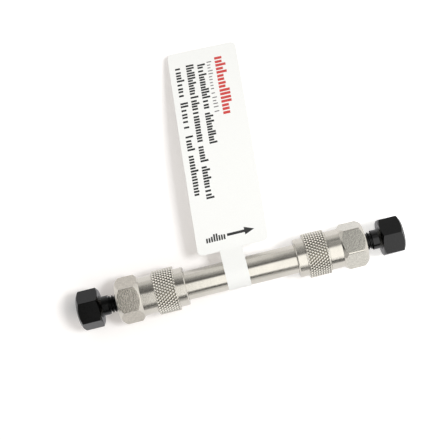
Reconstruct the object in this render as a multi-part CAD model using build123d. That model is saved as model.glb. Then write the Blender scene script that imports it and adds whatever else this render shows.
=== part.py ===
from build123d import *
import math
import os

# A packed chromatography column lying on its two knurled nuts. Millimetres.
# The tube runs along X with its middle at the origin, +X is the outlet end and +Z is up.

# ---- driving dimensions ----
bed_length = 50.0
bore_diameter = 2.1
tube_diameter = 7.94

# Radial gap between fixed pieces that slide together, and between a plug and its port.
slip_gap = 0.02
running_gap = 0.05
# Gap left between faces that seat on each other.
seat_gap = 0.02

frit_diameter = 3.2
frit_thickness = 0.9
frit_ring_diameter = 5.0

# End fitting, from the tube's end outwards.
passage_diameter = 0.3
passage_length = 0.5
pilot_diameter = 1.65
pilot_depth = 1.4
port_thread_diameter = 4.83
port_thread_depth = 4.74
port_cone_half_angle = 45.0
port_mouth_chamfer = 0.35
fitting_hex_across_flats = 11.11
fitting_hex_length = 6.6
fitting_hex_chamfer_angle = 50.0
fitting_hex_face_share = 0.96
neck_diameter = 10.6
neck_length = 3.52
spigot_wall = 0.32
spigot_length = 5.08

# Knurled nut, from its outer face back to the tube's middle.
nut_gap = 0.25
knurl_diameter = 12.3
knurl_length = 5.95
knurl_depth = 0.3
knurl_axial_pitch = 1.27
knurl_round_pitch = 0.89
knurl_bevel_run = 0.33
collar_diameter = 10.55
collar_length = 2.6
collar_chamfer = 0.25
nut_web_beyond_collar = 0.15

# Ferrule, seated on the nut's web. Its wall and the spigot's wall round it are radial.
ferrule_wall = 0.66
ferrule_band_length = 0.7
ferrule_cone_length = 1.9
ferrule_front_wall = 0.28

# Shipping plug. The standoffs are from the fitting's face to the head.
plug_hex_across_flats = 9.525
plug_head_length = 6.1
plug_head_chamfer_angle = 30.0
plug_outer_face_share = 0.86
plug_inner_face_share = 0.97
plug_neck_diameter = 5.3
plug_neck_length = 2.2
plug_neck_fillet = 0.5
plug_nose_diameter = 2.0
outlet_plug_standoff = 4.3
inlet_plug_backed_out = 0.5

# Angle of one flat of each hexagon, from straight up towards the front (-Y), in degrees.
inlet_fitting_turn = 2.3
outlet_fitting_turn = -8.7
inlet_plug_turn = 10.8
outlet_plug_turn = 28.8

# Paper label: a narrow strip round the tube, then a flag of two plies stuck together.
ply_thickness = 0.12
strip_width = 6.2
strip_middle = -1.2
flag_start = 6.7
flag_length = 57.3
flag_width = 19.5
flag_middle = -0.5
flag_lean = 4.6
flag_corner_radius = 1.5
flag_overlap = 0.8
# Height of the flag's underside above the table at even steps from the tube to the free end.
flag_left_heights = (7.8, 8.8, 6.9, 2.6)
flag_right_heights = (7.5, 7.0, 5.0, 0.0)

# ---- places that follow from the dimensions ----
tube_end = bed_length / 2
tube_radius = tube_diameter / 2
pocket_floor = tube_end + frit_thickness
passage_end = pocket_floor + passage_length
pilot_end = passage_end + pilot_depth
port_radius = port_thread_diameter / 2
port_cone_length = (port_radius - pilot_diameter / 2) / math.tan(math.radians(port_cone_half_angle))
port_cone_end = pilot_end + port_cone_length
mouth = port_cone_end + port_thread_depth
hex_start = mouth - fitting_hex_length
neck_start = hex_start - neck_length
spigot_end = neck_start - spigot_length
nut_outer_face = neck_start - nut_gap
collar_end = nut_outer_face - knurl_length
collar_face = collar_end - collar_length
web_face = collar_end + nut_web_beyond_collar
ferrule_cone_start = web_face + ferrule_band_length
ferrule_front = ferrule_cone_start + ferrule_cone_length
sleeve_radius = tube_radius + slip_gap
ferrule_front_radius = sleeve_radius + ferrule_front_wall
ferrule_radius = sleeve_radius + ferrule_wall
spigot_radius = ferrule_radius + spigot_wall
table_height = -knurl_diameter / 2


def turned(points):
    """Solid turned about the X axis from its half section, a list of (x, radius) points."""
    return revolve(make_face(Plane.XY * Polyline(*points, close=True)), Axis.X)


def chamfered_hexagon(start, end, across_flats, turn, start_share, end_share, angle):
    """Hexagonal prism along X whose corners are turned off at both ends."""
    corner_radius = across_flats / math.sqrt(3)
    hexagon = Plane.YZ.offset(start) * RegularPolygon(corner_radius, 6, rotation=turn)
    slope = math.tan(math.radians(angle))
    start_radius = across_flats / 2 * start_share
    end_radius = across_flats / 2 * end_share
    start_run = (corner_radius - start_radius) * slope
    end_run = (corner_radius - end_radius) * slope
    envelope = turned([
        (start, 0),
        (start, start_radius),
        (start + start_run, corner_radius),
        (end - end_run, corner_radius),
        (end, end_radius),
        (end, 0),
    ])
    return extrude(hexagon, end - start) & envelope


def column_tube():
    bore_radius = bore_diameter / 2
    return turned([
        (-tube_end, bore_radius), (-tube_end, tube_radius),
        (tube_end, tube_radius), (tube_end, bore_radius),
    ])


def packed_bed():
    bed_radius = bore_diameter / 2 - slip_gap
    return turned([
        (-tube_end, 0), (-tube_end, bed_radius), (tube_end, bed_radius), (tube_end, 0),
    ])


def frit():
    frit_radius = frit_diameter / 2 - slip_gap
    return turned([
        (tube_end, 0), (tube_end, frit_radius), (pocket_floor, frit_radius), (pocket_floor, 0),
    ])


def frit_ring():
    inner = frit_diameter / 2
    outer = frit_ring_diameter / 2
    return turned([
        (tube_end, inner), (tube_end, outer), (pocket_floor, outer), (pocket_floor, inner),
    ])


def ferrule():
    """Swaged ring on the tube: its back seats on the nut and its cone in the spigot's mouth."""
    return turned([
        (web_face, sleeve_radius),
        (web_face, ferrule_radius),
        (ferrule_cone_start, ferrule_radius),
        (ferrule_front, ferrule_front_radius),
        (ferrule_front, sleeve_radius),
    ])


def cone_seat_radius(x):
    """Radius of the spigot's conical mouth at x, which follows the ferrule's cone."""
    along = (x - ferrule_cone_start) / ferrule_cone_length
    drop = ferrule_radius - ferrule_front_radius
    return ferrule_radius - drop * along + seat_gap


def end_fitting(turn):
    """Hexagon, neck and spigot in one piece, with the tube's socket, frit pocket and port."""
    body = turned([
        (spigot_end, 0),
        (spigot_end, spigot_radius),
        (neck_start, spigot_radius),
        (neck_start, neck_diameter / 2),
        (hex_start, neck_diameter / 2),
        (hex_start, 0),
    ])
    body += chamfered_hexagon(
        hex_start, mouth, fitting_hex_across_flats, turn,
        fitting_hex_face_share, fitting_hex_face_share, fitting_hex_chamfer_angle)
    socket = turned([
        (spigot_end, 0),
        (spigot_end, cone_seat_radius(spigot_end)),
        (ferrule_front, cone_seat_radius(ferrule_front)),
        (ferrule_front, sleeve_radius),
        (tube_end, sleeve_radius),
        (tube_end, frit_ring_diameter / 2 + slip_gap),
        (pocket_floor, frit_ring_diameter / 2 + slip_gap),
        (pocket_floor, passage_diameter / 2),
        (passage_end, passage_diameter / 2),
        (passage_end, pilot_diameter / 2),
        (pilot_end, pilot_diameter / 2),
        (port_cone_end, port_radius),
        (mouth - port_mouth_chamfer, port_radius),
        (mouth, port_radius + port_mouth_chamfer),
        (mouth, 0),
    ])
    return body - socket


def knurl_station(row, rows):
    """Place along X of a row of the knurl: a short bevel at each end and even rows between them."""
    if row in (0, rows):
        return collar_end if row == 0 else nut_outer_face
    even_rows_length = knurl_length - 2 * knurl_bevel_run
    return collar_end + knurl_bevel_run + even_rows_length * (row - 1) / (rows - 2)


def knurl_point(row, step, rows, teeth):
    """Lattice point of the knurl: groove crossings and diamond tips alternate along and around."""
    is_tip = (row + step) % 2 == 1 and 0 < row < rows
    radius = knurl_diameter / 2 if is_tip else knurl_diameter / 2 - knurl_depth
    angle = math.pi * step / teeth
    return Vector(knurl_station(row, rows), radius * math.cos(angle), radius * math.sin(angle))


def knurled_band():
    """Solid band covered in diamond pyramids, with a bevel at each end down to the grooves."""
    even_rows = round(2 * (knurl_length - 2 * knurl_bevel_run) / knurl_axial_pitch)
    rows = max(2, even_rows) + 2
    teeth = max(6, round(math.pi * knurl_diameter / knurl_round_pitch))
    steps = 2 * teeth
    faces = []
    for row in range(rows):
        for step in range(steps):
            here = knurl_point(row, step, rows, teeth)
            beside = knurl_point(row, step + 1, rows, teeth)
            beyond = knurl_point(row + 1, step + 1, rows, teeth)
            above = knurl_point(row + 1, step, rows, teeth)
            if (row + step) % 2 == 0:
                triangles = [(here, beside, beyond), (here, beyond, above)]
            else:
                triangles = [(here, beside, above), (beside, beyond, above)]
            faces += [Face(Wire.make_polygon(corners)) for corners in triangles]
    for row in (0, rows):
        rim = [knurl_point(row, step, rows, teeth) for step in range(steps)]
        faces.append(Face(Wire.make_polygon(rim)))
    return Solid(Shell(faces))


def knurled_nut():
    """Coupling nut: a knurled band and a plain collar, bored for the tube, ferrule and spigot."""
    collar = turned([
        (collar_face, 0),
        (collar_face, collar_diameter / 2 - collar_chamfer),
        (collar_face + collar_chamfer, collar_diameter / 2),
        (collar_end, collar_diameter / 2),
        (collar_end, 0),
    ])
    cavity = turned([
        (collar_face, 0),
        (collar_face, sleeve_radius),
        (web_face, sleeve_radius),
        (web_face, spigot_radius + slip_gap),
        (nut_outer_face, spigot_radius + slip_gap),
        (nut_outer_face, 0),
    ])
    return knurled_band() + collar - cavity


def plug(turn, standoff):
    """Plastic shipping plug: hexagonal head, neck, and a shank that ends in a conical nose."""
    head_face = mouth + standoff
    shank_radius = port_radius - running_gap
    nose_radius = plug_nose_diameter / 2
    nose_run = (shank_radius - nose_radius) / math.tan(math.radians(port_cone_half_angle))
    seated_nose_start = port_cone_end + running_gap
    shank_length = mouth + outlet_plug_standoff - seated_nose_start
    nose_start = head_face - shank_length
    neck_end = head_face - plug_neck_length
    step_height = plug_neck_diameter / 2 - shank_radius
    shank = turned([
        (nose_start - nose_run, 0),
        (nose_start - nose_run, nose_radius),
        (nose_start, shank_radius),
        (neck_end - step_height, shank_radius),
        (neck_end, plug_neck_diameter / 2),
        (head_face - plug_neck_fillet, plug_neck_diameter / 2),
        (head_face, plug_neck_diameter / 2 + plug_neck_fillet),
        (head_face, 0),
    ])
    head = chamfered_hexagon(
        head_face, head_face + plug_head_length, plug_hex_across_flats, turn,
        plug_inner_face_share, plug_outer_face_share, plug_head_chamfer_angle)
    return head + shank


def teardrop(radius, tip_y, tip_z):
    """Flat outline of a circle and the two tangents that run from it to one point."""
    reach = math.hypot(tip_y, tip_z)
    bearing = math.atan2(tip_z, tip_y)
    spread = math.acos(radius / reach)
    touches = [
        (radius * math.cos(bearing + turn), radius * math.sin(bearing + turn))
        for turn in (spread, -spread)
    ]
    return Circle(radius) + Polygon((tip_y, tip_z), *touches, align=None)


def flag_section(x, heights):
    """Edge-on section of the two stuck plies, drooping from the tube to the free end."""
    flag_thickness = 2 * ply_thickness
    last = len(heights) - 1
    lower = [
        Vector(x, flag_start + flag_length * step / last, table_height + height)
        for step, height in enumerate(heights)
    ]
    upper = [point + Vector(0, 0, flag_thickness) for point in lower]
    return Wire([
        Edge.make_spline(lower),
        Edge.make_line(lower[-1], upper[-1]),
        Edge.make_spline(upper),
        Edge.make_line(upper[0], lower[0]),
    ])


def paper_label():
    lean_run = flag_length * math.tan(math.radians(flag_lean))
    left = flag_middle - flag_width / 2
    right = flag_middle + flag_width / 2
    flag_end = flag_start + flag_length
    outline = Polygon(
        (left, flag_start), (right, flag_start),
        (right + lean_run, flag_end), (left + lean_run, flag_end), align=None)
    outline = fillet(outline.vertices(), flag_corner_radius)
    sheet = Solid.make_loft([
        flag_section(left, flag_left_heights),
        flag_section(right + lean_run, flag_right_heights),
    ], ruled=True)
    flag = sheet & extrude(Plane.XY.offset(table_height) * outline, knurl_diameter)
    wrap_radius = tube_radius + slip_gap
    tip_y = flag_start + flag_overlap
    tip_z = table_height + flag_left_heights[0] + ply_thickness
    loop = teardrop(wrap_radius + ply_thickness, tip_y, tip_z)
    loop -= teardrop(wrap_radius, tip_y - 3 * ply_thickness, tip_z)
    strip = extrude(Plane.YZ.offset(strip_middle - strip_width / 2) * loop, strip_width)
    return flag + strip


def inlet(shape):
    """The inlet end is the outlet end's mirror image."""
    return mirror(shape, Plane.YZ)


parts = {
    "column_tube": column_tube(),
    "packed_bed": packed_bed(),
    "paper_label": paper_label(),
    "outlet_end_fitting": end_fitting(outlet_fitting_turn),
    "inlet_end_fitting": inlet(end_fitting(inlet_fitting_turn)),
    "outlet_plug": plug(outlet_plug_turn, outlet_plug_standoff),
    "inlet_plug": inlet(plug(inlet_plug_turn, outlet_plug_standoff + inlet_plug_backed_out)),
}
for name, shape in {
    "knurled_nut": knurled_nut(),
    "ferrule": ferrule(),
    "frit": frit(),
    "frit_ring": frit_ring(),
}.items():
    parts["outlet_" + name] = shape
    parts["inlet_" + name] = inlet(shape)

os.makedirs("parts", exist_ok=True)
for name, shape in parts.items():
    export_step(shape, f"parts/{name}.step")
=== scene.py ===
import math
import random

import bmesh
import bpy
from mathutils import Matrix, Vector
from mathutils.bvhtree import BVHTree


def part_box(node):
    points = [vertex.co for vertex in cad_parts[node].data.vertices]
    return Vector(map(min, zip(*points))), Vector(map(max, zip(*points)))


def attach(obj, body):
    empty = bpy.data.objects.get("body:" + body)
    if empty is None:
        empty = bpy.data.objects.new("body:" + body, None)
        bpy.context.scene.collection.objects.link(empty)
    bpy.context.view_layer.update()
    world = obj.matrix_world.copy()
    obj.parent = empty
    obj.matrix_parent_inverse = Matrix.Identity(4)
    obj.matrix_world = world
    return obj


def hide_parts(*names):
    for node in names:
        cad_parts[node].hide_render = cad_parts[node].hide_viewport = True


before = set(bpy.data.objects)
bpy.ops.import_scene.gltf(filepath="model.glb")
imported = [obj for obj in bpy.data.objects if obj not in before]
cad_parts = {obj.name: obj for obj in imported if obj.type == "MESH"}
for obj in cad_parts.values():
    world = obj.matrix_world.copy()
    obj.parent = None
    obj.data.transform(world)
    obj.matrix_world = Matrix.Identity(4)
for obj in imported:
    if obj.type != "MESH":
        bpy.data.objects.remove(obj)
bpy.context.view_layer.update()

MM = 0.001
ENDS = {"inlet": -1, "outlet": 1}

# ---- sizes of the visible pieces, in metres ----
TUBE_RADIUS = 3.97 * MM
COLLAR_RADIUS = 5.275 * MM
KNURL_RADIUS = 6.15 * MM
KNURL_DEPTH = 0.3 * MM
KNURL_TIP_FLAT = 0.13 * MM
KNURL_BEVEL = 0.33 * MM
# Within this depth of the tips the knurl keeps its tip colour; deeper down, painted shade darkens it
# towards the pits.
KNURL_UNSHADED_FROM = 0.35 * KNURL_DEPTH
PAST_COLLAR = 0.1 * MM
FITTING_HEX_LENGTH = 6.6 * MM
HEX_EDGE_ROUND = 0.30 * MM
PLUG_HEAD_LENGTH = 6.1 * MM
PLUG_NECK_LENGTH = 2.2 * MM
PLUG_EDGE_ROUND = 0.16 * MM
THREAD_RADIUS = 2.38 * MM
THREAD_PITCH = 0.794 * MM
THREAD_DEPTH = 0.42 * MM
THREAD_LEAD = 1.994 * MM
THREAD_CREST = 0.18 * THREAD_PITCH
THREAD_BASE = 0.84 * THREAD_PITCH
NOSE_RADIUS = 1.0 * MM
CORE_GAP = 0.02 * MM
SHANK_OVERLAP = 0.1 * MM

# ---- the paper label: a flag of two plies and the strip that holds it ----
PLY = 0.11 * MM
PLY_GAP = 0.015 * MM
LOWER_PLY_INSET = 0.12 * MM
STRIP_WIDTH = 6.2 * MM
STRIP_MIDDLE = -1.2 * MM
STRIP_GAP = 0.02 * MM
STRIP_PAST_FLAG_START = 0.4 * MM
STRIP_SEAT = 1.0 * MM
FLAG_WIDTH = 19.5 * MM
FLAG_MIDDLE = -0.5 * MM
FLAG_START = 6.7 * MM
FLAG_LENGTH = 57.3 * MM
FLAG_LEAN = math.radians(4.6)
FLAG_CORNER = 1.5 * MM
FLAG_ROWS = 48
FLAG_COLUMNS = 14
INK = 0.012 * MM

# ---- how the meshes are cleaned and shaded ----
# Vertices nearer to each other than these are one vertex.
TOUCHING = 0.002 * MM
SPUN_TOUCHING = 0.003 * MM
STRIP_TOUCHING = 0.001 * MM
# Faces that turn by less than this are one flat face.
SAME_PLANE = math.radians(0.3)
# A face larger than this is one of a fitting's hexagon flats, or as broad as one.
HEX_FACE_AREA = 15 * MM * MM
# Play in a test of where a vertex or a face lies.
NEAR = 0.02 * MM
SPIN_STEPS = 36
STRIP_STEPS = 64
# An edge looks sharp where it turns by more than these degrees.
NUT_SHARP_TURN = 14
FITTING_SHARP_TURN = 24
PLUG_SHARP_TURN = 24
THREAD_SHARP_TURN = 30
PAPER_SHARP_TURN = 30
# The edges between a hexagon's flats turn by 60 degrees, give or take this much.
HEX_TURN = 60
HEX_TURN_PLAY = 10

# ---- camera ----
PICTURE_SIDE = 440
PIXELS_PER_MM = 3.7
CAMERA_DISTANCE = 250 * MM
CAMERA_ELEVATION = math.radians(85)
CAMERA_ROLL = math.radians(13.8)
CAMERA_NEAR = 0.01
CAMERA_FAR = 10
COLUMN_MIDDLE_PIXEL = (241.3, 272.2)
SENSOR = 36.0


# ================= meshes =================

def new_mesh_piece(name, bm, body, materials):
    """Turns a bmesh into a piece that rides on a body."""
    mesh = bpy.data.meshes.new(name)
    bm.to_mesh(mesh)
    bm.free()
    # Normals that came with a CAD mesh no longer fit its new shape.
    if "custom_normal" in mesh.attributes:
        mesh.attributes.remove(mesh.attributes["custom_normal"])
    for material in materials:
        mesh.materials.append(material)
    piece = bpy.data.objects.new(name, mesh)
    bpy.context.scene.collection.objects.link(piece)
    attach(piece, body)
    return piece


def smooth_with_sharp_edges(bm, angle):
    """Smooth shading but at edges that turn by more than the angle and round a hexagon's flats."""
    for face in bm.faces:
        face.smooth = True
    for edge in bm.edges:
        broad = any(face.calc_area() > HEX_FACE_AREA for face in edge.link_faces)
        gentle = len(edge.link_faces) == 2 and edge.calc_face_angle(0) < math.radians(angle)
        edge.smooth = gentle and not broad


def reach(node):
    """Distance of a node's outer end from the column's middle, along X."""
    low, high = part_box(node)
    return max(abs(low.x), abs(high.x))


def merged_copy(node):
    """A CAD node's mesh as one connected bmesh, with its flat faces whole."""
    bm = bmesh.new()
    bm.from_mesh(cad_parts[node].data)
    bmesh.ops.remove_doubles(bm, verts=bm.verts, dist=TOUCHING)
    bmesh.ops.dissolve_limit(
        bm, angle_limit=SAME_PLANE, verts=bm.verts, edges=bm.edges, delimit=set())
    for face in bm.faces:
        face.material_index = 0
    return bm


def soften_long_edges(bm, width):
    """Rounds the edges between a hexagon's flats, which run along X."""
    edges = []
    for edge in bm.edges:
        if len(edge.link_faces) != 2:
            continue
        along = (edge.verts[1].co - edge.verts[0].co).normalized()
        turn = math.degrees(edge.calc_face_angle(0))
        if abs(along.x) > 0.999 and abs(turn - HEX_TURN) < HEX_TURN_PLAY:
            edges.append(edge)
    bmesh.ops.bevel(
        bm, geom=edges, offset=width, offset_type="OFFSET", segments=3, profile=0.5,
        affect="EDGES", material=-1, clamp_overlap=True)


def end_fitting(end, materials):
    """A fitting with its hexagon's edges rounded; the second material goes on the flats."""
    node = f"{end}_end_fitting"
    bm = merged_copy(node)
    soften_long_edges(bm, HEX_EDGE_ROUND)
    side = ENDS[end]
    hex_start = reach(node) - FITTING_HEX_LENGTH
    for face in bm.faces:
        on_hexagon = side * face.calc_center_median().x > hex_start - NEAR
        face.material_index = 1 if on_hexagon and face.calc_area() > HEX_FACE_AREA else 0
    smooth_with_sharp_edges(bm, FITTING_SHARP_TURN)
    piece = new_mesh_piece(f"{end}_fitting_finish", bm, "column", materials)
    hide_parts(node)


def from_axis(place):
    """Distance of a place from the column's axis."""
    return math.hypot(place.y, place.z)


def knurled_nut(end, materials):
    """A nut with its knurl's tips worn flat; the second material goes on the knurl."""
    node = f"{end}_knurled_nut"
    bm = merged_copy(node)
    tips = [v for v in bm.verts if from_axis(v.co) > KNURL_RADIUS - NEAR]
    bmesh.ops.bevel(
        bm, geom=tips, offset=KNURL_TIP_FLAT, offset_type="OFFSET", segments=1, profile=0.5,
        affect="VERTICES", material=-1, clamp_overlap=True)
    knurl = [abs(v.co.x) for v in bm.verts if from_axis(v.co) > COLLAR_RADIUS + PAST_COLLAR]
    first_row = min(knurl) + KNURL_BEVEL
    last_row = max(knurl) - KNURL_BEVEL
    for face in bm.faces:
        centre = face.calc_center_median()
        in_rows = first_row < abs(centre.x) < last_row
        knurled = in_rows and from_axis(centre) > COLLAR_RADIUS
        face.material_index = 1 if knurled else 0
    smooth_with_sharp_edges(bm, NUT_SHARP_TURN)
    piece = new_mesh_piece(f"{end}_nut_finish", bm, "column", materials)
    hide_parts(node)


def profile_line(bm, profile):
    """A line of edges through (place along X, radius) points: its vertices and its edges."""
    points = [bm.verts.new((x, 0, radius)) for x, radius in profile]
    return points, [bm.edges.new(pair) for pair in zip(points, points[1:])]


def spin_round(bm, geom, turns, advance):
    """Spins a profile round X, moving it on by the advance in each turn."""
    bmesh.ops.spin(
        bm, geom=geom, cent=(0, 0, 0), axis=(1, 0, 0), angle=2 * math.pi * turns,
        steps=SPIN_STEPS * turns, dvec=(advance / SPIN_STEPS, 0, 0), use_merge=False,
        use_duplicate=False)
    bmesh.ops.remove_doubles(bm, verts=bm.verts, dist=SPUN_TOUCHING)
    bmesh.ops.recalc_face_normals(bm, faces=bm.faces)


def shank_core(tip, end, radius):
    """Closed core under the thread, along X, with a conical nose."""
    bm = bmesh.new()
    nose_end = tip + radius - NOSE_RADIUS
    profile = [(tip, 0), (tip, NOSE_RADIUS), (nose_end, radius), (end, radius), (end, 0)]
    points, edges = profile_line(bm, profile)
    spin_round(bm, points + edges, 1, 0)
    return bm


def thread(start, end, radius):
    """V thread along X, made by a helical spin of its profile, with its first end closed."""
    bm = bmesh.new()
    root = radius - THREAD_DEPTH
    rising = [(-THREAD_PITCH / 2, root), (-THREAD_BASE / 2, root), (-THREAD_CREST / 2, radius)]
    falling = [(-x, r) for x, r in reversed(rising)]
    points, edges = profile_line(bm, [(start + x, r) for x, r in rising + falling])
    bm.faces.new(points)
    spin_round(bm, points + edges, round((end - start) / THREAD_PITCH), THREAD_PITCH)
    return bm


def plug(end, material):
    """A plug's head and neck, with its shank made anew under a real thread."""
    node = f"{end}_plug"
    side = ENDS[end]
    low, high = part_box(node)
    neck_end = reach(node) - PLUG_HEAD_LENGTH - PLUG_NECK_LENGTH
    bm = merged_copy(node)
    soften_long_edges(bm, PLUG_EDGE_ROUND)
    cut = bmesh.ops.bisect_plane(
        bm, geom=bm.verts[:] + bm.edges[:] + bm.faces[:], plane_co=(side * neck_end, 0, 0),
        plane_no=(side, 0, 0), clear_inner=True)
    rim = [e for e in cut["geom_cut"] if isinstance(e, bmesh.types.BMEdge)]
    bmesh.ops.holes_fill(bm, edges=rim)
    smooth_with_sharp_edges(bm, PLUG_SHARP_TURN)
    nose = min(abs(low.x), abs(high.x))
    shank_end = neck_end + SHANK_OVERLAP
    core = shank_core(nose, shank_end, THREAD_RADIUS - THREAD_DEPTH - CORE_GAP)
    ridge = thread(nose + THREAD_LEAD, shank_end, THREAD_RADIUS)
    for form in (core, ridge):
        if side < 0:
            bmesh.ops.rotate(
                form, verts=form.verts, cent=(0, 0, 0), matrix=Matrix.Rotation(math.pi, 3, "Z"))
        smooth_with_sharp_edges(form, THREAD_SHARP_TURN)
        extra = bpy.data.meshes.new("shank")
        form.to_mesh(extra)
        form.free()
        bm.from_mesh(extra)
        bpy.data.meshes.remove(extra)
    piece = new_mesh_piece(
        f"{end}_plug_finish", bm, f"{end}_plug_body", [material])
    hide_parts(node)


# ================= paper label =================

# A place on the label's edge is looked up again a little nearer the middle until it is hit.
PROBE_HEIGHT = 20 * MM
PROBE_TRIES = 12
PROBE_STEP = 0.004


def label_surface():
    """Finds the height of the CAD label's upper side at a place on the flag."""
    bm = bmesh.new()
    bm.from_mesh(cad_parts["paper_label"].data)
    tree = BVHTree.FromBMesh(bm)
    bm.free()
    down = Vector((0, 0, -1))

    middle_y = FLAG_START + FLAG_LENGTH / 2
    middle_x = flag_middle_at(middle_y)

    def height(x, y):
        for step in range(PROBE_TRIES):
            share = 1 - PROBE_STEP * step
            probe_x = middle_x + (x - middle_x) * share
            probe_y = middle_y + (y - middle_y) * share
            hit = tree.ray_cast(Vector((probe_x, probe_y, PROBE_HEIGHT)), down)[0]
            if hit is not None:
                return hit.z
        return 0.0

    return height


def flag_middle_at(y):
    """The flag leans, so its middle moves along X with the distance from the tube."""
    return FLAG_MIDDLE + (y - FLAG_START) * math.tan(FLAG_LEAN)


def cut_across(bm, place, normal):
    """Cuts every face where a plane crosses it, and keeps both sides."""
    bmesh.ops.bisect_plane(
        bm, geom=bm.verts[:] + bm.edges[:] + bm.faces[:], plane_co=place, plane_no=normal)


def flag_ply(height, drop, inset):
    """One ply of the flag: a rounded outline cut into strips and laid on the label's curve."""
    bm = bmesh.new()
    bmesh.ops.create_grid(bm, x_segments=1, y_segments=1, size=0.5)
    for v in bm.verts:
        y = FLAG_START + FLAG_LENGTH / 2 + v.co.y * (FLAG_LENGTH - 2 * inset)
        v.co = (flag_middle_at(y) + v.co.x * (FLAG_WIDTH - 2 * inset), y, 0)
    bmesh.ops.bevel(
        bm, geom=bm.verts[:], offset=FLAG_CORNER, offset_type="OFFSET", segments=8, profile=0.5,
        affect="VERTICES", material=-1)
    for row in range(1, FLAG_ROWS):
        y = FLAG_START + FLAG_LENGTH * row / FLAG_ROWS
        cut_across(bm, (0, y, 0), (0, 1, 0))
    for column in range(1, FLAG_COLUMNS):
        x = FLAG_MIDDLE + FLAG_WIDTH * (column / FLAG_COLUMNS - 0.5)
        cut_across(bm, (x, FLAG_START, 0), (math.cos(FLAG_LEAN), -math.sin(FLAG_LEAN), 0))
    for v in bm.verts:
        v.co.z = height(v.co.x, v.co.y) - drop
    bmesh.ops.recalc_face_normals(bm, faces=bm.faces)
    top = bm.faces[:]
    if sum(f.normal.z for f in top) < 0:
        bmesh.ops.reverse_faces(bm, faces=top)
    solid = bmesh.ops.extrude_face_region(bm, geom=top, use_keep_orig=True)
    for made in solid["geom"]:
        if isinstance(made, bmesh.types.BMVert):
            made.co.z -= PLY
    bmesh.ops.recalc_face_normals(bm, faces=bm.faces)
    return bm


def strip_loop(tip_z):
    """The narrow strip: once round the tube, with both ends drawn together at the flag."""
    bm = bmesh.new()
    radius = TUBE_RADIUS + STRIP_GAP
    tip = (FLAG_START + STRIP_PAST_FLAG_START, tip_z)
    bearing = math.atan2(tip[1], tip[0])
    spread = math.acos(radius / math.hypot(*tip))
    left = STRIP_MIDDLE - STRIP_WIDTH / 2
    right = STRIP_MIDDLE + STRIP_WIDTH / 2

    def pair(y, z):
        return [bm.verts.new((x, y, z)) for x in (left, right)]

    start_angle = bearing + spread
    first = pair(tip[0], tip[1])
    touch = pair(radius * math.cos(start_angle), radius * math.sin(start_angle))
    start_edge = bm.edges.new(touch)
    bm.faces.new((first[0], first[1], touch[1], touch[0]))
    turned = bmesh.ops.spin(
        bm, geom=touch + [start_edge], cent=(0, 0, 0), axis=(1, 0, 0),
        angle=2 * math.pi - 2 * spread, steps=STRIP_STEPS, use_merge=False, use_duplicate=False)
    last = [g for g in turned["geom_last"] if isinstance(g, bmesh.types.BMVert)]
    last.sort(key=lambda v: v.co.x)
    end = pair(tip[0], tip[1] - PLY)
    bm.faces.new((last[0], last[1], end[1], end[0]))
    bmesh.ops.remove_doubles(bm, verts=bm.verts, dist=STRIP_TOUCHING)
    bmesh.ops.recalc_face_normals(bm, faces=bm.faces)
    outward = 0.0
    for face in bm.faces:
        centre = face.calc_center_median()
        outward += face.normal.y * centre.y + face.normal.z * centre.z
    if outward < 0:
        bmesh.ops.reverse_faces(bm, faces=bm.faces)
    bmesh.ops.solidify(bm, geom=bm.faces[:], thickness=-PLY)
    bmesh.ops.recalc_face_normals(bm, faces=bm.faces)
    return bm


def paper_label(paper, height):
    """The label's two plies and its strip, laid on the CAD label's surface."""
    tip_z = height(STRIP_MIDDLE, FLAG_START + STRIP_SEAT) - PLY
    sheets = {
        "label_upper_ply": flag_ply(height, 0.0, 0.0),
        "label_lower_ply": flag_ply(height, PLY + PLY_GAP, LOWER_PLY_INSET),
        "label_strip": strip_loop(tip_z),
    }
    for name, bm in sheets.items():
        smooth_with_sharp_edges(bm, PAPER_SHARP_TURN)
        piece = new_mesh_piece(name, bm, "column", [paper])
        if name == "label_upper_ply":
            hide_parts("paper_label")


# Rows of print: the ink, how far across the flag from its left side, where the row starts and
# ends along the flag from the free end, each as a share, the height and stroke of a mark, and how
# many marks each word has.
PRINT_ROWS = [
    ("red", 0.738, 0.062, 0.366, 2.9 * MM, 0.75 * MM, (8,)),
    ("grey", 0.580, 0.075, 0.356, 1.3 * MM, 0.30 * MM, (9,)),
    ("black", 0.462, 0.083, 0.493, 2.2 * MM, 0.53 * MM, (9, 6)),
    ("black", 0.297, 0.074, 0.749, 2.2 * MM, 0.53 * MM, (15, 3, 6)),
    ("black", 0.138, 0.072, 0.722, 2.1 * MM, 0.53 * MM, (6, 5, 3, 7)),
]
PRINT_SEED = 11
WORD_GAP = 0.7
# A mark is one bar or a pair of bars, each tall or short by chance.
SINGLE_BAR_CHANCE = 0.2
PAIR_PLACES = (-0.26, 0.26)
TALL_BAR_CHANCE = 0.3
SHORT_BAR = (0.62, 0.72)
# The row of bars and the arrow beside it near the tube, as shares across and along the flag.
WORD_START = 0.137
WORD_END = 0.42
WORD_FOOT = 0.949
WORD_BARS = 8
WORD_BAR_WIDTH = 0.46 * MM
WORD_BAR_HEIGHT = 2.0 * MM
WORD_SHORT_BAR = (0.6, 0.75)
ARROW_ALONG = 0.932
ARROW_START = 0.449
ARROW_TIP = 0.826
ARROW_SHAFT_WIDTH = 0.72 * MM
ARROW_SHAFT_OVERLAP = 0.3 * MM
ARROW_HEAD_LENGTH = 2.7 * MM
ARROW_HEAD_WIDTH = 2.1 * MM


def flag_place(along, across):
    """A place on the flag from its share along, from the free end, and across, from the left."""
    y = FLAG_START + FLAG_LENGTH * (1 - along)
    x = flag_middle_at(y) + FLAG_WIDTH * (across - 0.5)
    return x, y


def mark(bm, height, along, across, length, width):
    """One flat block of ink, its length along the flag."""
    made = bmesh.ops.create_grid(bm, x_segments=1, y_segments=2, size=0.5)["verts"]
    x0, y0 = flag_place(along, across)
    for v in made:
        y = y0 + v.co.y * length
        x = x0 + v.co.x * width + (y - y0) * math.tan(FLAG_LEAN)
        v.co = (x, y, height(x, y) + INK)


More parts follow.
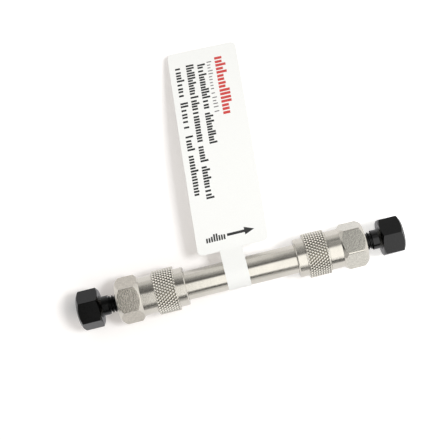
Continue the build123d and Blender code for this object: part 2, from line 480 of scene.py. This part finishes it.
def bar_share(draw, short):
    """A bar's share of the full height: all of it, or one drawn from the short bars' range."""
    return 1.0 if draw.random() < TALL_BAR_CHANCE else draw.uniform(*short)


def upright_bars(bm, height, along, across, cell, body, stroke, draw):
    """Stand-in for one character: one or two plain bars of uneven height that stand on one line."""
    foot = across - body / 2 / FLAG_WIDTH
    places = (0.0,) if draw.random() < SINGLE_BAR_CHANCE else PAIR_PLACES
    for place in places:
        tall = body * bar_share(draw, SHORT_BAR)
        mark(bm, height, along + place * cell, foot + tall / 2 / FLAG_WIDTH, stroke, tall)


def printed_rows(height, inks):
    """Rows of plain bars in place of print."""
    draw = random.Random(PRINT_SEED)
    sheets = {ink: bmesh.new() for ink in inks}
    for ink, across, start, end, body, stroke, words in PRINT_ROWS:
        count = sum(words) + WORD_GAP * (len(words) - 1)
        cell = (end - start) / count
        along = start
        for word in words:
            for _ in range(word):
                upright_bars(sheets[ink], height, along + cell / 2, across, cell, body, stroke, draw)
                along += cell
            along += WORD_GAP * cell
    for step in range(WORD_BARS):
        across = WORD_START + (WORD_END - WORD_START) * (step + 0.5) / WORD_BARS
        tall = WORD_BAR_HEIGHT * bar_share(draw, WORD_SHORT_BAR)
        middle = WORD_FOOT - tall / 2 / FLAG_LENGTH
        mark(sheets["black"], height, middle, across, tall, WORD_BAR_WIDTH)
    arrow(sheets["black"], height)
    for ink, bm in sheets.items():
        new_mesh_piece(f"label_print_{ink}", bm, "column", [inks[ink]])


def arrow(bm, height):
    """Flow arrow across the flag: a thin shaft and a solid head."""
    shaft_end = ARROW_TIP - ARROW_HEAD_LENGTH / FLAG_WIDTH
    shaft_length = (shaft_end - ARROW_START) * FLAG_WIDTH + ARROW_SHAFT_OVERLAP
    shaft_middle = (ARROW_START + shaft_end) / 2
    mark(bm, height, ARROW_ALONG, shaft_middle, ARROW_SHAFT_WIDTH, shaft_length)
    tip = flag_place(ARROW_ALONG, ARROW_TIP)
    root_x, root_y = flag_place(ARROW_ALONG, shaft_end)
    half = ARROW_HEAD_WIDTH / 2
    corners = [tip, (root_x, root_y + half), (root_x, root_y - half)]
    bm.faces.new([bm.verts.new((x, y, height(x, y) + INK)) for x, y in corners])


# ================= shader nodes =================

def link(tree, source, target):
    tree.links.new(source, target)


def feed(tree, value, target):
    """Links a socket to its target, or writes a plain value there."""
    if isinstance(value, bpy.types.NodeSocket):
        link(tree, value, target)
    else:
        target.default_value = value


def number_node(tree, operation, *values):
    """The result of a Math node on sockets or plain numbers."""
    node = tree.nodes.new("ShaderNodeMath")
    node.operation = operation
    for value, target in zip(values, node.inputs):
        feed(tree, value, target)
    return node.outputs["Value"]


def vector_node(tree, operation, *values):
    """The result of a Vector Math node on sockets or plain vectors."""
    node = tree.nodes.new("ShaderNodeVectorMath")
    node.operation = operation
    for value, target in zip(values, node.inputs):
        feed(tree, value, target)
    return node.outputs["Value" if operation == "LENGTH" else "Vector"]


def between(tree, source, low, high, at_low=0.0, at_high=1.0):
    """Runs from one value to another while the source runs from low to high."""
    node = tree.nodes.new("ShaderNodeMapRange")
    node.inputs["From Min"].default_value = low
    node.inputs["From Max"].default_value = high
    node.inputs["To Min"].default_value = at_low
    node.inputs["To Max"].default_value = at_high
    link(tree, source, node.inputs["Value"])
    return node.outputs["Result"]


def opaque(color):
    """A colour with an alpha of one."""
    return (*color, 1)


def blend(tree, share, first, second):
    """Mixes two colours, each a socket or a plain opaque colour."""
    node = tree.nodes.new("ShaderNodeMix")
    node.data_type = "RGBA"
    link(tree, share, node.inputs["Factor"])
    feed(tree, first, node.inputs["A"])
    feed(tree, second, node.inputs["B"])
    return node.outputs["Result"]


def axes_of(tree, vector):
    """A vector's X, Y and Z."""
    node = tree.nodes.new("ShaderNodeSeparateXYZ")
    link(tree, vector, node.inputs["Vector"])
    return node.outputs["X"], node.outputs["Y"], node.outputs["Z"]


# ================= materials =================

GRAIN_NOISE_RANGE = (0.3, 0.7)
GRAIN_DETAIL = 3.0
GRAIN_RELIEF = 0.01 * MM


def make_grain_group():
    """Streaky grain: noise stretched by a scale for each axis."""
    group = bpy.data.node_groups.new("machining_grain", "ShaderNodeTree")
    group.interface.new_socket(
        name="Streak Scale", in_out="INPUT", socket_type="NodeSocketVector")
    group.interface.new_socket(name="Grain", in_out="OUTPUT", socket_type="NodeSocketFloat")
    given = group.nodes.new("NodeGroupInput")
    result = group.nodes.new("NodeGroupOutput")
    place = group.nodes.new("ShaderNodeTexCoord")
    noise = group.nodes.new("ShaderNodeTexNoise")
    noise.inputs["Scale"].default_value = 1.0
    noise.inputs["Detail"].default_value = GRAIN_DETAIL
    stretched = vector_node(
        group, "MULTIPLY", place.outputs["Object"], given.outputs["Streak Scale"])
    link(group, stretched, noise.inputs["Vector"])
    grain = between(group, noise.outputs["Fac"], *GRAIN_NOISE_RANGE)
    link(group, grain, result.inputs["Grain"])
    return group


GRAIN_GROUP = make_grain_group()


def grain_node(tree, scale):
    """The grain at a scale for each axis, or at one scale for all three."""
    node = tree.nodes.new("ShaderNodeGroup")
    node.node_tree = GRAIN_GROUP
    node.inputs["Streak Scale"].default_value = scale if isinstance(scale, tuple) else (scale,) * 3
    return node.outputs["Grain"]


def principled(name, color, metallic, roughness):
    """A new plain material, its node tree and its shader."""
    material = bpy.data.materials.new(name)
    material.use_nodes = True
    tree = material.node_tree
    shader = tree.nodes["Principled BSDF"]
    shader.inputs["Base Color"].default_value = opaque(color)
    shader.inputs["Metallic"].default_value = metallic
    shader.inputs["Roughness"].default_value = roughness
    return material, tree, shader


def grained(name, color, metallic, roughness, scale, bump):
    """A material whose roughness and relief follow a fine grain."""
    material, tree, shader = principled(name, color, metallic, roughness[0])
    fine = grain_node(tree, scale)
    link(tree, between(tree, fine, 0, 1, *roughness), shader.inputs["Roughness"])
    relief = tree.nodes.new("ShaderNodeBump")
    relief.inputs["Strength"].default_value = bump
    relief.inputs["Distance"].default_value = GRAIN_RELIEF
    link(tree, fine, relief.inputs["Height"])
    link(tree, relief.outputs["Normal"], shader.inputs["Normal"])
    return material, tree, shader, fine


def steel(name, color, roughness, scale, bump, mottle_scale=160, mottle_share=0.9):
    """Machined steel: streaks in roughness and relief, and a mottle of slightly darker colour."""
    material, tree, shader, _ = grained(name, color, 1.0, roughness, scale, bump)
    darker = [channel * mottle_share for channel in color]
    mottle = blend(tree, grain_node(tree, mottle_scale), opaque(color), opaque(darker))
    link(tree, mottle, shader.inputs["Base Color"])
    return material


def knurl_steel_with_painted_shade(name, tip_color, pit_shade_color, roughness, scale, bump):
    """Steel with painted shade: its colour darkens from the knurl's bright tips down to its pits,
    where shade falls.
    """
    material, tree, shader, _ = grained(name, tip_color, 1.0, roughness, scale, bump)
    place = tree.nodes.new("ShaderNodeTexCoord")
    off_axis = vector_node(tree, "MULTIPLY", place.outputs["Object"], (0, 1, 1))
    radius = vector_node(tree, "LENGTH", off_axis)
    # Painted shade: the colour runs from dark in the pits to bright at the tips.
    rise = between(tree, radius, KNURL_RADIUS - KNURL_DEPTH, KNURL_RADIUS - KNURL_UNSHADED_FROM)
    color = blend(tree, rise, opaque(pit_shade_color), opaque(tip_color))
    link(tree, color, shader.inputs["Base Color"])
    return material


def dull_surface(name, color, other_color, roughness, scale, bump, gloss=0.5):
    """A surface that isn't metal, its colour between two near ones."""
    material, tree, shader, fine = grained(name, color, 0.0, roughness, scale, bump)
    shader.inputs["Specular IOR Level"].default_value = gloss
    mottle = blend(tree, fine, opaque(color), opaque(other_color))
    link(tree, mottle, shader.inputs["Base Color"])
    return material


def printing_ink(name, color, other_color):
    """Matt ink for the label's rows."""
    return dull_surface(name, color, other_color, (0.4, 0.5), 5000, 0.05)


# ================= table =================

TABLE_Z = -KNURL_RADIUS
TABLE_HALF_SIDE = 1.5
TABLE_COLOR = (0.88, 0.88, 0.88)
TABLE_ROUGHNESS = 0.6
# What the table gives off by itself, and what it gives off at most, which the camera sees far off
# and on its right, where it is painted light that washes out the shade near the column. The tone
# changes the glow's colour in the metal: a painted reflection, bluer and brighter than the table.
TABLE_GLOW = (0.228, 0.199, 0.178)
TABLE_GLOW_WITH_PAINTED_LIGHT = (0.50, 0.49, 0.475)
TABLE_TONE = (1.0, 1.0, 1.0)
TABLE_PAINTED_REFLECTION_TONE = (1.06, 1.17, 1.40)
TABLE_PAINTED_LIGHT_RIGHT = (-0.005, 0.022)
TABLE_FAR_OFF = (0.08, 0.17)
# A painted shadow: round the inlet plug's head the table gives off less.
PLUG_SHADE_MIDDLE = (-0.0462, 0.0016)
PLUG_SHADE_REACH = (0.0060, 0.0047)
# A painted dark reflection: in the metal the table's near left corner is dark, from the first place
# to the second.
PAINTED_DARK_CORNER_LEFT = (-0.07, -0.20)
PAINTED_DARK_CORNER_FRONT = (0.04, -0.02)


def table_paint():
    """Matt white that takes the shadows, with a glow that only the camera and the metal see; the
    glow holds painted light on the right, a painted shadow round the inlet plug and painted
    reflections in the metal.
    """
    material, tree, shader = principled("white_table", TABLE_COLOR, 0.0, TABLE_ROUGHNESS)
    shader.inputs["Specular IOR Level"].default_value = 0.0
    place = tree.nodes.new("ShaderNodeTexCoord").outputs["Object"]
    sideways, backwards, _ = axes_of(tree, place)
    path = tree.nodes.new("ShaderNodeLightPath")
    for_camera = path.outputs["Is Camera Ray"]
    in_metal = path.outputs["Is Glossy Ray"]

    # Painted light: the camera sees the table glow more on the right and far off.
    painted_light_right = between(tree, sideways, *TABLE_PAINTED_LIGHT_RIGHT)
    far_off = between(tree, vector_node(tree, "LENGTH", place), *TABLE_FAR_OFF)
    glowing_most = number_node(tree, "MAXIMUM", painted_light_right, far_off)
    share = number_node(tree, "MULTIPLY", glowing_most, for_camera)
    glow = blend(tree, share, opaque(TABLE_GLOW), opaque(TABLE_GLOW_WITH_PAINTED_LIGHT))
    # Painted reflection: the metal sees the table's glow in a bluer, brighter tone than the camera
    # does.
    tone = blend(tree, in_metal, opaque(TABLE_TONE), opaque(TABLE_PAINTED_REFLECTION_TONE))
    link(tree, vector_node(tree, "MULTIPLY", glow, tone), shader.inputs["Emission Color"])

    # Painted shadow round the inlet plug's head.
    from_plug = vector_node(tree, "SUBTRACT", place, (*PLUG_SHADE_MIDDLE, TABLE_Z))
    reaches = vector_node(tree, "DIVIDE", from_plug, (*PLUG_SHADE_REACH, 1))
    unshaded = between(tree, vector_node(tree, "LENGTH", reaches), 0, 1)
    seen = number_node(tree, "ADD", for_camera, in_metal)
    link(tree, number_node(tree, "MULTIPLY", seen, unshaded), shader.inputs["Emission Strength"])

    # Painted dark reflection: in the metal the table's near left corner turns black.
    far_left = between(tree, sideways, *PAINTED_DARK_CORNER_LEFT)
    in_front = between(tree, backwards, *PAINTED_DARK_CORNER_FRONT)
    painted_dark_reflection = number_node(tree, "MULTIPLY", far_left, in_front)
    unlit = tree.nodes.new("ShaderNodeMixShader")
    link(tree, number_node(tree, "MULTIPLY", painted_dark_reflection, in_metal), unlit.inputs["Fac"])
    link(tree, shader.outputs["BSDF"], unlit.inputs[1])
    link(tree, unlit.outputs["Shader"], tree.nodes["Material Output"].inputs["Surface"])
    return material


def table():
    """The table that the column lies on."""
    bm = bmesh.new()
    bmesh.ops.create_grid(bm, x_segments=1, y_segments=1, size=TABLE_HALF_SIDE)
    bmesh.ops.translate(bm, verts=bm.verts, vec=(0, 0, TABLE_Z))
    mesh = bpy.data.meshes.new("table")
    bm.to_mesh(mesh)
    bm.free()
    mesh.materials.append(table_paint())
    top = bpy.data.objects.new("table", mesh)
    bpy.context.scene.collection.objects.link(top)


# ================= light and room =================

KEY_PLACE = (0.32, -0.05, 0.62)
KEY_SIDE = 0.17
KEY_RADIANCE = 26.0
ROOM_GLOW = 0.64
WHITE = (1.0, 1.0, 1.0)

# Brightness of the room that the metal reflects, by the angle from straight up towards the
# front, in degrees: a pale back wall, a dim ceiling, a dim front and the table's edge.
ROOM = [
    (-90, 0.97), (-78, 0.92), (-68, 0.84), (-59, 0.68), (-52, 0.28), (-44, 0.20), (-34, 0.18),
    (-26, 0.16), (-15, 0.18), (-5, 0.14), (50, 0.12), (58, 0.10), (73, 0.10), (79, 0.85),
    (90, 1.0),
]
# The room's far left is dark but for its back, and its far right is a bright wall. An edge says
# how far sideways one thing goes over into the next, from -1 on the left to 1 on the right.
FAR_LEFT = [
    (-90, 1.0), (-60, 0.8), (-45, 0.2), (0, 0.05), (18, 0.10), (38, 0.50), (65, 0.70), (90, 0.45),
]
FAR_RIGHT = [(-90, 1.1), (0, 1.5), (60, 1.4), (90, 0.9)]
FAR_LEFT_EDGE = (-0.62, -0.32)
FAR_RIGHT_EDGE = (0.32, 0.58)
# The bright window overhead, which fades and then ends a little to the left of the column.
WINDOW = [(-90, 0), (-15, 0), (-9, 1.25), (-4, 1.58), (54, 1.62), (58, 0), (90, 0)]
WINDOW_LEFT_EDGE = (-0.112, -0.105)
WINDOW_LEFT_FADE = (-0.098, -0.074)
WINDOW_LEFT_SHARE = 0.7
# A pale panel at the back of the ceiling, from a little to the right of the column.
PANEL = [(-90, 0), (-46, 0), (-38, 0.6), (-12, 0.6), (-8, 0), (90, 0)]
PANEL_LEFT_EDGE = (0.115, 0.124)
# A soft lamp towards the back, over the column's middle.
LAMP = [
    (-90, 0.02), (-80, 0.12), (-66, 0.24), (-54, 0.44), (-42, 0.37), (-31, 0.12), (-24, 0), (90, 0),
]
LAMP_LEFT_EDGE = (-0.063, -0.057)
LAMP_RIGHT_EDGE = (0.063, 0.057)
# The angle is scaled by a share that changes over a range of distance from the middle.
TURN_FROM = (0.063, 0.085)
TURN_SHARE = (1.08, 0.86)
BRIGHTEST = 2.0


def key_lamp():
    """One soft lamp high on the right; the room gives the rest."""
    data = bpy.data.lights.new("key_lamp", "AREA")
    data.size = KEY_SIDE
    data.energy = KEY_RADIANCE * math.pi * KEY_SIDE ** 2
    lamp = bpy.data.objects.new("key_lamp", data)
    bpy.context.scene.collection.objects.link(lamp)
    lamp.location = KEY_PLACE
    lamp.rotation_mode = "QUATERNION"
    lamp.rotation_quaternion = (-Vector(KEY_PLACE)).to_track_quat("-Z", "Y")
    lamp.visible_glossy = False


def brightness(tree, angle, stops):
    """A curve of brightness over an angle, given as stops of degrees and brightness."""
    first, last = stops[0][0], stops[-1][0]
    node = tree.nodes.new("ShaderNodeValToRGB")
    elements = node.color_ramp.elements
    while len(elements) > 1:
        elements.remove(elements[-1])
    for step, (degrees, level) in enumerate(stops):
        place = (degrees - first) / (last - first)
        element = elements[0] if step == 0 else elements.new(place)
        element.position = place
        element.color = opaque([level / BRIGHTEST] * 3)
    share = between(tree, angle, math.radians(first), math.radians(last))
    link(tree, share, node.inputs["Fac"])
    return node.outputs["Color"]


def patch(tree, angle, stops, share):
    """A bright patch of the room: its curve over the angle, cut to a share sideways."""
    return vector_node(tree, "MULTIPLY", brightness(tree, angle, stops), share)


def room_pattern(tree):
    """The room that the metal reflects, by the angle round X and by how far sideways it is."""
    place = tree.nodes.new("ShaderNodeTexCoord")
    sideways, backwards, upwards = axes_of(tree, place.outputs["Generated"])
    forwards = number_node(tree, "MULTIPLY", backwards, -1)
    angle_seen = number_node(tree, "ARCTAN2", forwards, upwards)
    off_middle = number_node(tree, "ABSOLUTE", sideways)
    angle = number_node(
        tree, "MULTIPLY", angle_seen, between(tree, off_middle, *TURN_FROM, *TURN_SHARE))

    fade = between(tree, sideways, *WINDOW_LEFT_FADE, WINDOW_LEFT_SHARE)
    pane = number_node(tree, "MULTIPLY", fade, between(tree, sideways, *WINDOW_LEFT_EDGE))
    panel_width = between(tree, sideways, *PANEL_LEFT_EDGE)
    lamp_left = between(tree, sideways, *LAMP_LEFT_EDGE)
    lamp_right = between(tree, sideways, *LAMP_RIGHT_EDGE)
    lamp_width = number_node(tree, "MULTIPLY", lamp_left, lamp_right)
    middle = brightness(tree, angle, ROOM)
    for stops, share in ((WINDOW, pane), (PANEL, panel_width), (LAMP, lamp_width)):
        middle = vector_node(tree, "ADD", middle, patch(tree, angle, stops, share))

    from_left = between(tree, sideways, *FAR_LEFT_EDGE)
    left_done = blend(tree, from_left, brightness(tree, angle, FAR_LEFT), middle)
    to_right = between(tree, sideways, *FAR_RIGHT_EDGE)
    return blend(tree, to_right, left_done, brightness(tree, angle, FAR_RIGHT))


def background(tree, color, strength):
    """A world's light of one strength, its colour a socket or a plain opaque colour."""
    node = tree.nodes.new("ShaderNodeBackground")
    feed(tree, color, node.inputs["Color"])
    node.inputs["Strength"].default_value = strength
    return node.outputs["Background"]


def either(tree, share, first, second):
    """Mixes two shaders by a share."""
    node = tree.nodes.new("ShaderNodeMixShader")
    link(tree, share, node.inputs["Fac"])
    link(tree, first, node.inputs[1])
    link(tree, second, node.inputs[2])
    return node.outputs["Shader"]


def surroundings():
    """Plain glow for the matt surfaces, the room's pattern for the metal, white for the camera."""
    world = bpy.data.worlds.new("room")
    bpy.context.scene.world = world
    world.use_nodes = True
    tree = world.node_tree
    tree.nodes.remove(tree.nodes["Background"])
    glow = background(tree, opaque(WHITE), ROOM_GLOW)
    mirrored = background(tree, room_pattern(tree), BRIGHTEST)
    white = background(tree, opaque(WHITE), 1.0)
    path = tree.nodes.new("ShaderNodeLightPath")
    in_metal = either(tree, path.outputs["Is Glossy Ray"], glow, mirrored)
    behind = either(tree, path.outputs["Is Camera Ray"], in_metal, white)
    link(tree, behind, tree.nodes["World Output"].inputs["Surface"])


def camera():
    """Looks at the column from nearly overhead, turned so that it lies aslant in the picture."""
    data = bpy.data.cameras.new("camera")
    cam = bpy.data.objects.new("camera", data)
    bpy.context.scene.collection.objects.link(cam)
    bpy.context.scene.camera = cam
    metres_per_pixel = MM / PIXELS_PER_MM
    data.sensor_width = SENSOR
    data.lens = SENSOR * CAMERA_DISTANCE / (PICTURE_SIDE * metres_per_pixel)
    data.clip_start = CAMERA_NEAR
    data.clip_end = CAMERA_FAR
    back = Vector((0, -math.cos(CAMERA_ELEVATION), math.sin(CAMERA_ELEVATION)))
    level_right = Vector((1, 0, 0))
    level_up = back.cross(level_right)
    right = level_right * math.cos(CAMERA_ROLL) - level_up * math.sin(CAMERA_ROLL)
    up = level_right * math.sin(CAMERA_ROLL) + level_up * math.cos(CAMERA_ROLL)
    across = (COLUMN_MIDDLE_PIXEL[0] - PICTURE_SIDE / 2) * metres_per_pixel
    below = (COLUMN_MIDDLE_PIXEL[1] - PICTURE_SIDE / 2) * metres_per_pixel
    aim = up * below - right * across
    turn = Matrix((right, up, back)).transposed()
    cam.matrix_world = Matrix.Translation(aim + back * CAMERA_DISTANCE) @ turn.to_4x4()


# ================= finishes =================

STEEL_COLOR = (0.60, 0.572, 0.51)
# The inlet's hexagon flats get a darker colour than the outlet's: painted shade for the dimmer light
# at the column's left end.
INLET_HEX_SHADED_COLOR = (0.54, 0.505, 0.44)
MATT_STEEL_COLOR = (0.63, 0.61, 0.545)
# The knurl's pits get a darker colour than its tips: painted shade.
KNURL_TIP_COLOR = (0.80, 0.775, 0.71)
KNURL_PIT_SHADE_COLOR = (0.40, 0.375, 0.32)
BLACK = (0.001, 0.001, 0.0008)
DEEP_BLACK = (0.0006, 0.0006, 0.0005)
# The inlet plug has less gloss than the outlet plug: painted shade for the dimmer light at the
# column's left end.
PLUG_GLOSS = {"inlet": 0.28, "outlet": 0.40}

polished = steel("polished_steel", STEEL_COLOR, (0.12, 0.19), (14000, 700, 700), 0.2)
turned_steel = steel("turned_steel", STEEL_COLOR, (0.13, 0.21), (12000, 700, 700), 0.2)
hexagon_steel = {
    # Painted shade: the inlet's flats are darker and more darkly mottled than the outlet's.
    "inlet": steel("inlet_hex_steel_painted_shade", INLET_HEX_SHADED_COLOR, (0.12, 0.20), 3000, 0.7, 2600, 0.66),
    "outlet": steel("matt_steel", MATT_STEEL_COLOR, (0.17, 0.25), 2600, 0.8, 2600, 0.78),
}
knurl_steel = knurl_steel_with_painted_shade(
    "knurl_steel", KNURL_TIP_COLOR, KNURL_PIT_SHADE_COLOR, (0.18, 0.27), 5000, 0.2)
black = {
    end: dull_surface(f"black_plastic_{end}", BLACK, DEEP_BLACK, (0.13, 0.22), 6000, 0.3, gloss)
    for end, gloss in PLUG_GLOSS.items()
}
paper = dull_surface(
    "label_paper", (0.935, 0.935, 0.905), (0.90, 0.90, 0.87), (0.5, 0.6), 5000, 0.15)
inks = {
    "red": printing_ink("red_ink", (0.60, 0.045, 0.04), (0.66, 0.08, 0.07)),
    "grey": printing_ink("grey_ink", (0.16, 0.15, 0.15), (0.24, 0.23, 0.23)),
    "black": printing_ink("black_ink", (0.008, 0.008, 0.008), (0.02, 0.02, 0.02)),
}
sintered = dull_surface(
    "sintered_steel", (0.42, 0.41, 0.40), (0.25, 0.24, 0.23), (0.6, 0.8), 12000, 1.0)
ring_polymer = dull_surface(
    "ring_polymer", (0.70, 0.62, 0.46), (0.64, 0.56, 0.40), (0.4, 0.5), 4000, 0.2)
silica = dull_surface(
    "packed_silica", (0.92, 0.92, 0.90), (0.84, 0.84, 0.82), (0.8, 0.9), 15000, 0.8)


# ================= build =================

def paint(node, material):
    """Gives a CAD node's own mesh its finish."""
    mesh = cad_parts[node].data
    mesh.materials.clear()
    mesh.materials.append(material)


paint("column_tube", polished)
paint("packed_bed", silica)
for end in ENDS:
    paint(f"{end}_ferrule", turned_steel)
    paint(f"{end}_frit", sintered)
    paint(f"{end}_frit_ring", ring_polymer)
    end_fitting(end, [turned_steel, hexagon_steel[end]])
    knurled_nut(end, [turned_steel, knurl_steel])
    plug(end, black[end])
label_height = label_surface()
paper_label(paper, label_height)
printed_rows(label_height, inks)

table()
key_lamp()
surroundings()
camera()
bpy.context.scene.view_settings.view_transform = "Standard"
